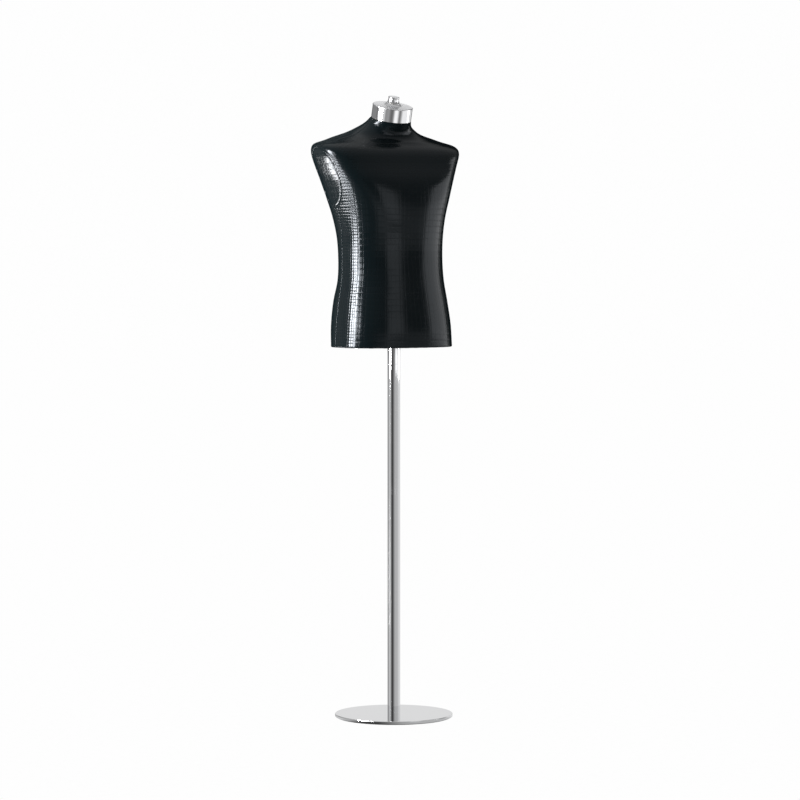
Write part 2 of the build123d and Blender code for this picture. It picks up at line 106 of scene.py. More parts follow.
SCALE_WIDTH = 13 * MM  # of one large embossed scale
SCALE_HEIGHT = 17 * MM
FLANK_START = 150 * MM  # small scales begin this far round from the middle of a panel
FLANK_SCALE = 8.5 * MM
WIDE_CUTS = (0, 0.07, 0.22, 0.5, 0.78, 0.93)  # mesh lines across one large scale
NARROW_CUTS = (0, 0.12, 0.5, 0.88)
ROW_CUTS = (0, 0.055, 0.2, 0.44, 0.5, 0.56, 0.8, 0.945)
GROOVE_HALF_WIDTH = 0.9 * MM
BELLY_DEPTH = 0.07 * MM
FLANK_DEPTH = 0.24 * MM
BELLY_DOME = 0.015 * MM
FLANK_DOME = 0.09 * MM
BELLY_END = 70 * MM  # the relief deepens from here round to the start of the small scales
# Columns closer than these shares of their spacing at the waist lose every 2nd, then every 4th.
CROWDED = (0.62, 0.36)
CROWDED_FADE = 0.12
SHOULDER_FLATNESS = 0.85  # share of the flank's extra relief that is lost above the armholes' lower end
SHOULDER_FADE = 40 * MM
EMBOSS_WANDER = 0.8 * MM
CALM_EDGE = 12 * MM  # the wander fades out this close to a panel's edge
WAIST_STEPS = 1200
WAIST_OVERLAP = 0.6  # radians that the waist is read past a panel's sides

# ---------------------------------------------------------------- camera
CAMERA_AZIMUTH = radians(-30)
CAMERA_DISTANCE = 9.0
CAMERA_HEIGHT = 1.336
FRAME_HALF_ANGLE = radians(7.07)
LOOK_DOWN = radians(2.84)
LOOK_RIGHT = radians(0.11)


def make_camera():
    """A long lens at the chest's height, round on the torso's right."""
    data = bpy.data.cameras.new("camera")
    data.sensor_width = 36
    data.lens = data.sensor_width / 2 / tan(FRAME_HALF_ANGLE)
    data.clip_end = 200
    camera = bpy.data.objects.new("camera", data)
    bpy.context.scene.collection.objects.link(camera)
    camera.location = (
        CAMERA_DISTANCE * sin(CAMERA_AZIMUTH),
        -CAMERA_DISTANCE * cos(CAMERA_AZIMUTH),
        CAMERA_HEIGHT,
    )
    camera.rotation_euler = (pi / 2 - LOOK_DOWN, 0, CAMERA_AZIMUTH - LOOK_RIGHT)
    bpy.context.scene.camera = camera


# ---------------------------------------------------------------- node helpers
def new_material(name):
    """An empty node material with its output and a Principled shader."""
    material = bpy.data.materials.new(name)
    material.use_nodes = True
    tree = material.node_tree
    tree.nodes.clear()
    output = tree.nodes.new("ShaderNodeOutputMaterial")
    shader = tree.nodes.new("ShaderNodeBsdfPrincipled")
    tree.links.new(shader.outputs["BSDF"], output.inputs["Surface"])
    return material, tree, shader


def object_coordinates(tree, stretch=(1, 1, 1)):
    """Object coordinates, so that a pattern moves with its piece."""
    place = tree.nodes.new("ShaderNodeTexCoord")
    mapping = tree.nodes.new("ShaderNodeMapping")
    mapping.inputs["Scale"].default_value = stretch
    tree.links.new(place.outputs["Object"], mapping.inputs["Vector"])
    return mapping.outputs["Vector"]


def noise(tree, vector, scale, detail=2.0, roughness=0.5):
    """A noise texture's value."""
    node = tree.nodes.new("ShaderNodeTexNoise")
    node.inputs["Scale"].default_value = scale
    node.inputs["Detail"].default_value = detail
    node.inputs["Roughness"].default_value = roughness
    tree.links.new(vector, node.inputs["Vector"])
    return node.outputs["Fac"]


def remap(tree, value, low, high, start=0.0, end=1.0):
    """Value, from start..end, spread over low..high."""
    node = tree.nodes.new("ShaderNodeMapRange")
    node.inputs["From Min"].default_value = start
    node.inputs["From Max"].default_value = end
    node.inputs["To Min"].default_value = low
    node.inputs["To Max"].default_value = high
    tree.links.new(value, node.inputs["Value"])
    return node.outputs["Result"]


def mix_colours(tree, share, first, second):
    """A colour between two, by share."""
    node = tree.nodes.new("ShaderNodeMix")
    node.data_type = "RGBA"
    node.inputs["A"].default_value = (*first, 1)
    node.inputs["B"].default_value = (*second, 1)
    tree.links.new(share, node.inputs["Factor"])
    return node.outputs["Result"]


def bump(tree, shader, height, distance, strength=1.0, under=None):
    """Bends the shader's normal by height, over an earlier bump if there is one."""
    node = tree.nodes.new("ShaderNodeBump")
    node.inputs["Strength"].default_value = strength
    node.inputs["Distance"].default_value = distance
    tree.links.new(height, node.inputs["Height"])
    if under:
        tree.links.new(under.outputs["Normal"], node.inputs["Normal"])
    tree.links.new(node.outputs["Normal"], shader.inputs["Normal"])
    return node


# ---------------------------------------------------------------- materials
# The base colour in the grooves is darker than on the scales' faces: painted shade.
LEATHER_GROOVE_SHADE = (0.0007, 0.0019, 0.0023)
LEATHER_FACES = (0.0010, 0.0029, 0.0036)
LEATHER_GLOSS = 0.22
LEATHER_SHEEN = 0.02
LEATHER_DULL_SLANT = (0.53, 0.66)  # the pores hide the lacquer where it is seen this much edge on


def make_leather():
    """Black lacquered leather: fine pores, a faint cloudiness in the gloss, duller grooves in painted
    shade.
    """
    material, tree, shader = new_material("embossed_leather")
    vector = object_coordinates(tree)
    clouds = noise(tree, vector, scale=30, detail=3)
    pores = noise(tree, vector, scale=1400, detail=3, roughness=0.6)
    creases = noise(tree, vector, scale=330, detail=4, roughness=0.55)
    relief = tree.nodes.new("ShaderNodeAttribute")
    relief.attribute_name = "relief"
    # Base colour darkened towards the grooves by the relief attribute: painted shade.
    tree.links.new(
        mix_colours(tree, relief.outputs["Fac"], LEATHER_GROOVE_SHADE, LEATHER_FACES),
        shader.inputs["Base Color"],
    )
    dull = tree.nodes.new("ShaderNodeMath")
    dull.operation = "SUBTRACT"
    tree.links.new(remap(tree, clouds, low=0.14, high=0.2, start=0.3, end=0.7), dull.inputs[0])
    tree.links.new(remap(tree, relief.outputs["Fac"], low=-0.10, high=0.0), dull.inputs[1])
    tree.links.new(dull.outputs["Value"], shader.inputs["Roughness"])
    slant = tree.nodes.new("ShaderNodeLayerWeight")
    tree.links.new(
        remap(tree, slant.outputs["Facing"], LEATHER_GLOSS, 0.0, *LEATHER_DULL_SLANT),
        shader.inputs["Specular IOR Level"],
    )
    shader.inputs["Specular Tint"].default_value = (0.88, 0.93, 1.0, 1.0)
    shader.inputs["Sheen Weight"].default_value = LEATHER_SHEEN
    shader.inputs["Sheen Roughness"].default_value = 0.5
    shader.inputs["Sheen Tint"].default_value = (0.8, 0.93, 1.0, 1.0)
    first = bump(tree, shader, creases, distance=0.25 * MM, strength=0.2)
    bump(tree, shader, pores, distance=0.06 * MM, strength=0.25, under=first)
    return material


def make_chrome(name, tone=0.78, roughness=0.035):
    """Chrome plate: faint polishing marks, fingerprints' dulling and a long soft ripple."""
    material, tree, shader = new_material(name)
    vector = object_coordinates(tree)
    marks = noise(tree, object_coordinates(tree, (1, 1, 0.05)), scale=900, detail=2)
    smears = noise(tree, vector, scale=14, detail=4, roughness=0.6)
    ripple = noise(tree, vector, scale=9, detail=1)
    tree.links.new(
        mix_colours(tree, smears, (tone * 0.97, tone * 0.98, tone), (tone, tone, tone * 1.01)),
        shader.inputs["Base Color"],
    )
    shader.inputs["Metallic"].default_value = 1
    smeared = remap(tree, smears, low=roughness, high=roughness + 0.06, start=0.4, end=0.75)
    tree.links.new(smeared, shader.inputs["Roughness"])
    first = bump(tree, shader, ripple, distance=0.3 * MM, strength=0.15)
    bump(tree, shader, marks, distance=0.01 * MM, strength=0.15, under=first)
    return material


def make_steel():
    """Zinc plated steel: grey, slightly crystalline and streaked."""
    material, tree, shader = new_material("zinc_steel")
    vector = object_coordinates(tree)
    grain = noise(tree, vector, scale=160, detail=3)
    greys = mix_colours(tree, grain, (0.42, 0.43, 0.45), (0.62, 0.63, 0.64))
    tree.links.new(greys, shader.inputs["Base Color"])
    shader.inputs["Metallic"].default_value = 1
    tree.links.new(remap(tree, grain, low=0.28, high=0.48), shader.inputs["Roughness"])
    bump(tree, shader, grain, distance=0.05 * MM, strength=0.3)
    return material


def make_brass():
    """Turned brass with fine tool marks."""
    material, tree, shader = new_material("turned_brass")
    marks = noise(tree, object_coordinates(tree, (1, 1, 8)), scale=300, detail=2)
    yellows = mix_colours(tree, marks, (0.55, 0.38, 0.14), (0.72, 0.53, 0.22))
    tree.links.new(yellows, shader.inputs["Base Color"])
    shader.inputs["Metallic"].default_value = 1
    tree.links.new(remap(tree, marks, low=0.22, high=0.35), shader.inputs["Roughness"])
    bump(tree, shader, marks, distance=0.03 * MM, strength=0.3)
    return material


def make_board():
    """Plywood: long grain with darker streaks and open pores."""
    material, tree, shader = new_material("plywood")
    along = object_coordinates(tree, (6, 90, 90))
    fine_along = object_coordinates(tree, (30, 900, 900))
    grain = noise(tree, along, scale=2.4, detail=8, roughness=0.65)
    fibres = noise(tree, fine_along, scale=1.5, detail=4)
    browns = mix_colours(tree, grain, (0.36, 0.22, 0.11), (0.66, 0.48, 0.29))
    tree.links.new(browns, shader.inputs["Base Color"])
    tree.links.new(remap(tree, fibres, low=0.5, high=0.75), shader.inputs["Roughness"])
    bump(tree, shader, fibres, distance=0.15 * MM, strength=0.5)
    return material


def make_plastic(name, dark, light, scale=220, low=0.4, high=0.6):
    """Moulded or foamed plastic with a fine speckle in colour, gloss and surface."""
    material, tree, shader = new_material(name)
    speckle = noise(tree, object_coordinates(tree), scale, detail=4, roughness=0.6)
    tree.links.new(mix_colours(tree, speckle, dark, light), shader.inputs["Base Color"])
    tree.links.new(remap(tree, speckle, low, high), shader.inputs["Roughness"])
    bump(tree, shader, speckle, distance=0.1 * MM, strength=0.4)
    return material


def paint(material, *names):
    """Gives CAD nodes a material."""
    for name in names:
        mesh = nodes[name].data
        mesh.materials.clear()
        mesh.materials.append(material)


def paint_frame():
    """Every carried-over CAD node's material."""
    paint(make_chrome("base_chrome"), "base_plate")
    paint(make_chrome("pole_chrome"), "pole_tube")
    paint(make_chrome("neck_chrome"), "neck_collar")
    paint(make_chrome("satin_chrome", tone=0.72, roughness=0.24), "neck_cap", "neck_knob")
    paint(
        make_steel(),
        "pole_bolt",
        "pole_foot_plug",
        "socket_tube",
        "socket_top_plug",
        "socket_flange",
        "flange_screws",
        "hem_staples",
        "knob_stud",
    )
    paint(make_brass(), "neck_insert")
    paint(make_board(), "hem_board", "neck_block")
    foam = make_plastic("foam_pad", (0.012,) * 3, (0.03,) * 3, scale=700, low=0.85, high=0.95)
    paint(foam, "base_pad")
    paint(
        make_plastic("nylon", (0.6, 0.58, 0.52), (0.72, 0.7, 0.65)),
        "pole_top_cap",
        "thrust_disc",
        "knob_washer",
    )
    fibreglass = make_plastic("fibreglass", (0.42, 0.4, 0.3), (0.62, 0.6, 0.5), scale=90)
    paint(fibreglass, "torso_shell")


# ---------------------------------------------------------------- the skin, read from the CAD cover
def cover_tree():
    """One search tree of the CAD covers, with the shell behind their seams."""
    corners, faces = [], []
    for name in (*COVER_NODES, "torso_shell"):
        mesh = nodes[name].data
        first = len(corners)
        corners.extend(vertex.co.copy() for vertex in mesh.vertices)
        faces.extend([first + index for index in polygon.vertices] for polygon in mesh.polygons)
    return BVHTree.FromPolygons(corners, faces)


def ring_of_reaches(tree, height, turns):
    """Distances from the torso's middle out to the skin, on a ring that leans forward at the neck."""
    rise = max(0, height - LEAN_START_Z) / (TOP_Z - LEAN_START_Z)
    lean = NECK_LEAN * rise
    centre = Vector((0, SIDE_SEAM_Y, height))
    backward = Vector((0, cos(lean), sin(lean)))
    reaches = []
    for turn in turns:
        direction = Vector((cos(turn), 0, 0)) + backward * sin(turn)
        place, _, _, distance = tree.ray_cast(centre + direction * FAR, -direction, FAR)
        reaches.append(FAR - distance if place else reaches[-1])
    return centre, backward, reaches


def place_rings(heights, turns, reaches):
    """Points of the skin from their distances."""
    rise = np.clip((heights - LEAN_START_Z) / (TOP_Z - LEAN_START_Z), 0, None)
    lean = (NECK_LEAN * rise)[:, None]
    across = reaches * np.cos(turns)
    along = reaches * np.sin(turns)
    level = np.broadcast_to(heights[:, None], reaches.shape)
    backward = SIDE_SEAM_Y + along * np.cos(lean)
    return np.stack([across, backward, level + along * np.sin(lean)], axis=2)


def even_heights(tree):
    """Heights that space the rows evenly over the surface, and the rows' total length."""
    turns = np.linspace(0, 2 * pi, ROUGH_TURNS, endpoint=False)
    rough = np.linspace(HEM_Z + HEM_ROLL, TOP_Z - SKIN_TOP_GAP, ROUGH_ROWS)
    reaches = np.array([ring_of_reaches(tree, height, turns)[2] for height in rough])
    steps = np.linalg.norm(np.diff(place_rings(rough, turns, reaches), axis=0), axis=2)
    stretch = ROW_BY_LONGEST * steps.max(axis=1) + ROW_BY_MEAN * steps.mean(axis=1)
    along = np.concatenate([[0], np.cumsum(stretch)])
    count = round(along[-1] / SKIN_ROW) + 1
    return np.interp(np.linspace(0, along[-1], count), along, rough), along[-1]


def eased(values, widths):
    """Values eased row to row and round the torso, without drawing them in."""
    once = values
    for _ in range(SKIN_SMOOTHING):
        once = one_easing(once, widths)
    twice = once
    for _ in range(SKIN_SMOOTHING):
        twice = one_easing(twice, widths)
    return 2 * once - twice


def padded_rows(table):
    """A table with a row more at either end, in line with the two before it."""
    return np.concatenate([2 * table[:1] - table[1:2], table, 2 * table[-1:] - table[-2:-1]])


def one_easing(values, widths):
    """One step of easing towards the neighbours' mean."""
    round_mean = (np.roll(values, 1, 1) + np.roll(values, -1, 1)) / 2
    padded = padded_rows(values)
    row_mean = (padded[:-2] + padded[2:]) / 2
    return values + widths * ((round_mean + row_mean) / 2 - values)


def read_skin():
    """The skin as a table of points, free of the CAD mesh's facets, and its rows' total length."""
    tree = cover_tree()
    turns = np.linspace(0, 2 * pi, SKIN_TURNS, endpoint=False)
    heights, length = even_heights(tree)
    reaches = np.array([ring_of_reaches(tree, height, turns)[2] for height in heights])
    gentle = np.clip((SMOOTH_BELOW_Z - heights) / SMOOTH_FADE, 0, 1)[:, None]
    reaches = eased(reaches, NECK_EASING + BODY_EASING * gentle)
    return place_rings(heights, turns, reaches), length


def cubic_weights(share):
    """Shares of four neighbours in a smooth reading between the middle two."""
    return (
        ((2 - share) * share - 1) * share / 2,
        ((3 * share - 5) * share**2 + 2) / 2,
        ((4 - 3 * share) * share + 1) * share / 2,
        (share - 1) * share**2 / 2,
    )


def read_table(table, rows, columns):
    """A smooth reading of a table between its rows and columns; the columns close on themselves."""
    padded = padded_rows(table)
    row = np.clip(np.floor(rows).astype(int), 0, len(table) - 2)
    column = np.floor(columns).astype(int)
    total = 0
    for down, by_row in enumerate(cubic_weights(rows - row)):
        for across, by_column in enumerate(cubic_weights(columns - column)):
            share = (by_row * by_column)[..., None]
            total = total + share * padded[row + down, (column + across - 1) % table.shape[1]]
    return total


# ---------------------------------------------------------------- embossed leather panels
def scale_edges(reach):
    """Edges of the scales from a panel's middle to reach, and the mesh lines over them."""
    wide = int((min(FLANK_START, reach) - SCALE_WIDTH / 2) / SCALE_WIDTH)
    edges = [SCALE_WIDTH / 2 + SCALE_WIDTH * step for step in range(wide + 1)]
    narrow = max(1, round((reach - edges[-1]) / FLANK_SCALE))
    rest = (reach - edges[-1]) / narrow
    edges += [edges[-1] + rest * step for step in range(1, narrow + 1)]
    return edges, wide


def mesh_columns(reach):
    """Positions round from a panel's middle, each with its distance to the nearest scale side, whether
    it is on the flank, and that side's number."""
    edges, wide = scale_edges(reach)
    half = []
    for index, (start, end) in enumerate(zip(edges, edges[1:])):
        for cut in WIDE_CUTS if index < wide else NARROW_CUTS:
            side = min(cut, 1 - cut) * (end - start)
            place = start + (end - start) * cut
            half.append((place, side, float(index >= wide), index + (cut > 0.5)))
    half.append((edges[-1], 0.0, 1.0, len(edges) - 1))
    middle = [
        ((2 * cut - 1) * edges[0], min(cut, 1 - cut) * 2 * edges[0], 0.0, 0) for cut in WIDE_CUTS[1:]
    ]
    mirrored = [(-place, *rest) for place, *rest in reversed(half)]
    return np.array(mirrored + middle + half).T


def mesh_rows(length):
    """Positions up the skin, each with its distance to a large and to a small scale's end."""
    count = round(length / SCALE_HEIGHT)
    height = length / count
    cuts = np.array(ROW_CUTS)
    places = np.concatenate([(np.arange(count)[:, None] + cuts).ravel() * height, [length]])
    share = places / height
    large = np.abs(share - np.round(share)) * height
    small = np.abs(share * 2 - np.round(share * 2)) * height / 2
    return places, large, small


def wander(seed, rows, columns):
    """A smooth random field in -1..1 with one value for each scale."""
    size = (int(rows.max()) + 3, int(np.ptp(columns)) + 6, 1)
    lattice = np.random.default_rng(seed).uniform(-1, 1, size)
    return read_table(lattice, rows, columns - columns.min() + 1)[..., 0]


def groove_share(distance):
    """1 on a scale's face and 0 at the bottom of a groove."""
    return np.clip(distance / GROOVE_HALF_WIDTH, 0, 1)


def seam_profile(distance, width, depth):
    """How far the leather sinks towards a seam's stitches."""
    share = np.clip(distance / width, 0, 1)
    return -depth * (1 - share * share * (3 - 2 * share))


ARMHOLE_LOW, ARMHOLE_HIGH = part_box("armhole_cover_left")
ARMHOLE_MIDDLE = (ARMHOLE_LOW + ARMHOLE_HIGH) / 2
ARMHOLE_RADII = (ARMHOLE_HIGH - ARMHOLE_LOW) / 2


def armhole_distance(points):
    """Distance outside the armhole's oval, negative inside it; far from it on the chest."""
    across = (points[..., 1] - ARMHOLE_MIDDLE.y) / ARMHOLE_RADII.y
    upward = (points[..., 2] - ARMHOLE_MIDDLE.z) / ARMHOLE_RADII.z
    size = np.hypot(across, upward) + TINY
    steepness = np.hypot(across / ARMHOLE_RADII.y, upward / ARMHOLE_RADII.z) / size
    distance = (size - 1) / steepness
    return np.where(np.abs(points[..., 0]) > ARMHOLES_BEYOND, distance, NO_ARMHOLE)


def unit_normals(points, outward):
    """Unit normals of a grid, on the side that outward points to at its middle."""
    normals = np.cross(np.gradient(points, axis=1), np.gradient(points, axis=0))
    normals /= np.linalg.norm(normals, axis=2, keepdims=True) + TINY
    middle = normals[normals.shape[0] // 2, normals.shape[1] // 2]
    return normals if middle @ np.array(outward) > 0 else -normals


def emboss(points, places, sides, flanks, numbers, large, small):
    """Relief of the scales, 1 on their faces and 0 in the grooves, and how far they stand out."""
    ends = np.where(flanks[None, :] > 0.5, small[:, None], large[:, None])
    spacing = np.linalg.norm(np.gradient(points, axis=1), axis=2) / np.gradient(places)
    half, quarter = (np.clip((spacing - limit) / CROWDED_FADE + 0.5, 0, 1) for limit in CROWDED)
    kept = np.where(numbers % 2 == 1, half, np.where(numbers % 4 == 2, quarter, 1))
    across = 1 - (1 - groove_share(sides)) * kept
    relief = np.minimum(groove_share(ends), across)
    half_height = np.where(flanks[None, :] > 0.5, SCALE_HEIGHT / 4, SCALE_HEIGHT / 2)
    half_width = np.where(flanks > 0.5, FLANK_SCALE / 2, SCALE_WIDTH / 2)[None, :]
    rise_up = 1 - (1 - np.clip(ends / half_height, 0, 1)) ** 2
    rise_across = 1 - (1 - np.clip(sides[None, :] / half_width, 0, 1)) ** 2 * kept
    deeper = np.clip((np.abs(places) - BELLY_END) / (FLANK_START - BELLY_END), 0, 1)
    shoulder = np.clip((points[..., 2] - ARMHOLE_LOW.z) / SHOULDER_FADE, 0, 1)
    deeper = deeper * (1 - SHOULDER_FLATNESS * shoulder)
    depth = BELLY_DEPTH + (FLANK_DEPTH - BELLY_DEPTH) * deeper
    dome = BELLY_DOME + (FLANK_DOME - BELLY_DOME) * deeper
    return relief, depth * relief + dome * rise_up * rise_across


def waist_turns(skin, middle):
    """Arc length round the waist from a turn, as a pair of matching arrays."""
    heights = skin[:, 0, 2]
    row = int(np.argmin(np.abs(heights - WAIST_Z)))
    steps = np.linspace(-pi / 2 - WAIST_OVERLAP, pi / 2 + WAIST_OVERLAP, WAIST_STEPS)
    columns = (middle + steps) / (2 * pi) * SKIN_TURNS
    ring = read_table(skin, np.full(columns.shape, float(row)), columns)
    along = np.concatenate([[0], np.cumsum(np.linalg.norm(np.diff(ring, axis=0), axis=1))])
    return steps, along - np.interp(0, steps, along)


def panel_grid(skin, length, middle, reach, seed):
    """A panel's embossed face: points, normals, relief and lift on a grid from the hem up."""
    steps, arcs = waist_turns(skin, middle)
    if reach is None:
        reach = float(np.interp(pi / 2, steps, arcs))
    places, sides, flanks, numbers = mesh_columns(reach)
    levels, large, small = mesh_rows(length)
    rows, columns = np.meshgrid(levels, places, indexing="ij")
    inner = np.clip((reach - np.abs(columns)) / CALM_EDGE, 0, 1)
    inner *= np.clip(rows / CALM_EDGE, 0, 1) * np.clip((length - rows) / CALM_EDGE, 0, 1)
    lattice_rows, lattice_columns = rows / SCALE_HEIGHT, columns / SCALE_WIDTH
    shift_up = wander(seed, lattice_rows, lattice_columns) * EMBOSS_WANDER * inner
    shift_across = wander(seed + 1, lattice_rows, lattice_columns) * EMBOSS_WANDER * inner
    turn = middle + np.interp(columns + shift_across, arcs, steps)
    skin_rows = np.clip((rows + shift_up) / length, 0, 1) * (len(skin) - 1)
    points = read_table(skin, skin_rows, turn / (2 * pi) * SKIN_TURNS)
    normals = unit_normals(points, (cos(middle), sin(middle), 0))
    relief, lift = emboss(points, places, sides, flanks, numbers, large, small)
    return points, normals, relief, lift


def hem_rows(points, normals, lift, relief):
    """Adds the rolled lower edge and the fold under the board below a grid's first row."""
    level = normals[0] * np.array([1.0, 1.0, 0.0])
    level /= np.linalg.norm(level, axis=1, keepdims=True)
    down = np.array([0.0, 0.0, -1.0])
    centre = points[0] - level * HEM_ROLL
    roll_turns = np.linspace(pi / 2, 0, HEM_ROLL_STEPS)[:-1]
    roll_normals = [level * cos(turn) + down * sin(turn) for turn in roll_turns]
    roll = [centre + normal * HEM_ROLL for normal in roll_normals]
    around = np.concatenate([[0], np.cumsum(np.linalg.norm(np.diff(points[0], axis=0), axis=1))])
    drift = PLEAT_DRIFT * np.sin(around / PLEAT_DRIFT_SPACING)
    pleats = 0.5 + 0.5 * np.sin(around / PLEAT_SPACING + drift)
    under = []
    for share in np.linspace(1, 0, HEM_FOLD_STEPS)[:-1]:
        pleated = centre - level * HEM_FOLD * share - down * (HEM_PLEAT * share * pleats)[:, None]
        under.append(pleated + down * HEM_ROLL)
    count = len(under) + len(roll)
    return (
        np.concatenate([np.array(under + roll), points]),
        np.concatenate([np.broadcast_to(down, (len(under), *level.shape)), roll_normals, normals]),
        np.concatenate([np.zeros((count, lift.shape[1])), lift]),
        np.concatenate([np.full((count, relief.shape[1]), HEM_RELIEF), relief]),
    )


def grid_faces(rows, columns):
    """Quads of a grid of points."""
    index = np.arange(rows * columns).reshape(rows, columns)
    corners = [index[:-1, :-1], index[:-1, 1:], index[1:, 1:], index[1:, :-1]]
    return np.stack([corner.ravel() for corner in corners], axis=1).tolist()


def clipped(faces, values, tables):
    """Faces and tables of points cut where values crosses zero, keeping where it is positive."""
    crossings, pairs, kept = {}, [], []
    for face in faces:
        inside = [values[corner] >= 0 for corner in face]
        if all(inside):
            kept.append(face)
        elif any(inside):
            loop = []
            for here, there in zip(face, face[1:] + face[:1]):
                if values[here] >= 0:
                    loop.append(here)
                if (values[here] >= 0) != (values[there] >= 0):
                    key = (min(here, there), max(here, there))
                    if key not in crossings:
                        crossings[key] = len(values) + len(pairs)
                        pairs.append(key)
                    loop.append(crossings[key])
            kept.append(loop)
    if pairs:
        first, second = np.array(pairs).T
        share = values[first] / (values[first] - values[second])
        grown = []
        for table in tables:
            part = share.reshape(-1, *[1] * (table.ndim - 1))
            grown.append(np.concatenate([table, table[first] * (1 - part) + table[second] * part]))
        tables = grown
    return kept, tables


def turn_edges_in(mesh):
    """Turns every cut edge of a panel in by the leather's thickness."""
    work = bmesh.new()
    work.from_mesh(mesh)
    loose = [vertex for vertex in work.verts if not vertex.link_faces]
    bmesh.ops.delete(work, geom=loose, context="VERTS")
    work.normal_update()
    rims = [edge for edge in work.edges if edge.is_boundary]
    grown = bmesh.ops.extrude_edge_only(work, edges=rims)["geom"]
    fresh = [item for item in grown if isinstance(item, bmesh.types.BMVert)]
    moves = {vertex: vertex.normal.copy() for vertex in work.verts}
    for vertex in fresh:
        partner = next(
            edge.other_vert(vertex) for edge in vertex.link_edges if edge.other_vert(vertex) not in fresh
        )
        vertex.co = partner.co - moves[partner] * LEATHER_EDGE
    work.to_mesh(mesh)
    work.free()


def leather_piece(name, grid, side_seams, inside_armhole, replaced):
    """A panel of leather as a finished piece of the torso."""
    points, normals, relief, lift = grid
    if side_seams:
        points, normals, lift, relief = hem_rows(points, normals, lift, relief)
    faces = grid_faces(*points.shape[:2])
    flat = [table.reshape(-1, *table.shape[2:]) for table in (points, normals, lift, relief)]
    distance = armhole_distance(flat[0])
    faces, flat = clipped(faces, -distance if inside_armhole else distance, flat)
    places, directions, lift, relief = flat
    sink = seam_profile(np.abs(armhole_distance(places)), ARMHOLE_SEAM_WIDTH, ARMHOLE_SEAM_DEPTH)
    if side_seams:
        above = np.clip((places[:, 2] - HEM_Z - HEM_ROLL) / SIDE_SEAM_FADE, 0, 1)
        side = seam_profile(np.abs(places[:, 1] - SIDE_SEAM_Y), SIDE_SEAM_WIDTH, SIDE_SEAM_DEPTH)
        sink = np.minimum(sink, side * (SIDE_SEAM_AT_HEM + (1 - SIDE_SEAM_AT_HEM) * above))
    places = places + directions * (lift + sink)[:, None]
    used = sorted({corner for face in faces for corner in face})
    order = {old: new for new, old in enumerate(used)}
    faces = [[order[corner] for corner in face] for face in faces]
    mesh = bpy.data.meshes.new(name)
    mesh.from_pydata(places[used].tolist(), [], faces)
    first = mesh.polygons[len(mesh.polygons) // 2]
    outward = Vector(directions[used[first.vertices[0]]])
    if first.normal.dot(outward) < 0:
        mesh.flip_normals()
    attribute = mesh.attributes.new("relief", "FLOAT", "POINT")
    attribute.data.foreach_set("value", relief[used].astype(np.float32))
    turn_edges_in(mesh)
    mesh.shade_smooth()
    piece = bpy.data.objects.new(name, mesh)
    bpy.context.scene.collection.objects.link(piece)
    mesh.materials.append(LEATHER)
    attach(piece, "torso")
    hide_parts(replaced)
    return piece


def cut_rows(grid, low, high):
    """The rows of a grid between two heights."""
    heights = grid[0][:, grid[0].shape[1] // 2, 2]
    chosen = np.flatnonzero((heights > low) & (heights < high))
    return tuple(table[chosen[0] : chosen[-1] + 1] for table in grid)


def dress_torso():
    """The four leather panels."""
    skin, length = read_skin()
    grid = panel_grid(skin, length, CHEST_TURN, None, seed=3)
    front = leather_piece("leather_front", grid, True, False, "cover_front")
    grid = panel_grid(skin, length, BACK_TURN, None, seed=5)
    back = leather_piece("leather_back", grid, True, False, "cover_back")
    low, high = ARMHOLE_LOW.z - ARMHOLE_MARGIN, ARMHOLE_HIGH.z + ARMHOLE_MARGIN
    for side, middle, seed in (("left", 0, 7), ("right", pi, 9)):
        node = f"armhole_cover_{side}"
        if (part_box(node)[0].x > 0) != (middle == 0):
            middle = pi - middle
        grid = cut_rows(panel_grid(skin, length, middle, ARMHOLE_REACH, seed), low, high)
        piece = leather_piece(f"leather_armhole_{side}", grid, False, True, node)


# ---------------------------------------------------------------- stage and lights
def plain_glow(name, brightness):
    """A material that shines evenly, like paper lit from all round."""
    material, tree, shader = new_material(name)
    fibres = noise(tree, object_coordinates(tree), scale=40, detail=2)
    whites = mix_colours(tree, fibres, (0.98,) * 3, (1.0,) * 3)
    tree.links.new(whites, shader.inputs["Emission Color"])
    shader.inputs["Base Color"].default_value = (0, 0, 0, 1)
    shader.inputs["Specular IOR Level"].default_value = 0
    shader.inputs["Emission Strength"].default_value = brightness
    return material


def glow_by_azimuth(material, ramp):
    """Makes a glow follow a ramp of azimuths round the stand."""
    tree = material.node_tree
    shader = next(node for node in tree.nodes if node.type == "BSDF_PRINCIPLED")
    split = tree.nodes.new("ShaderNodeSeparateXYZ")
    tree.links.new(object_coordinates(tree, (1, -1, 1)), split.inputs["Vector"])
    turn = tree.nodes.new("ShaderNodeMath")
    turn.operation = "ARCTAN2"
    tree.links.new(split.outputs["X"], turn.inputs[0])
    tree.links.new(split.outputs["Y"], turn.inputs[1])
    colours = tree.nodes.new("ShaderNodeValToRGB")
    tree.links.new(remap(tree, turn.outputs["Value"], 0, 1, -pi, pi), colours.inputs["Fac"])
    stops = colours.color_ramp.elements
    stops[0].color = stops[1].color = (ramp[0][1],) * 3 + (1,)
    for azimuth, level in ramp[1:]:
        stops.new(0.5 + azimuth / 360).color = (level, level, level, 1)
    tree.links.new(colours.outputs["Color"], shader.inputs["Emission Color"])


def stage_sheet(name, points, faces, brightness, seen):
    """A sheet of the stage, either seen by the camera or only in gloss."""
    mesh = bpy.data.meshes.new(name)
    mesh.from_pydata(points, [], faces)
    mesh.materials.append(plain_glow(name, brightness))
    sheet = bpy.data.objects.new(name, mesh)
    bpy.context.scene.collection.objects.link(sheet)
    sheet.visible_camera = seen
    sheet.visible_diffuse = seen
    sheet.visible_glossy = not seen
    sheet.visible_shadow = False
    return sheet


FLOOR_RADIUS = 30
WALL_RADIUS = 29
SECTOR_STEP = 6  # degrees

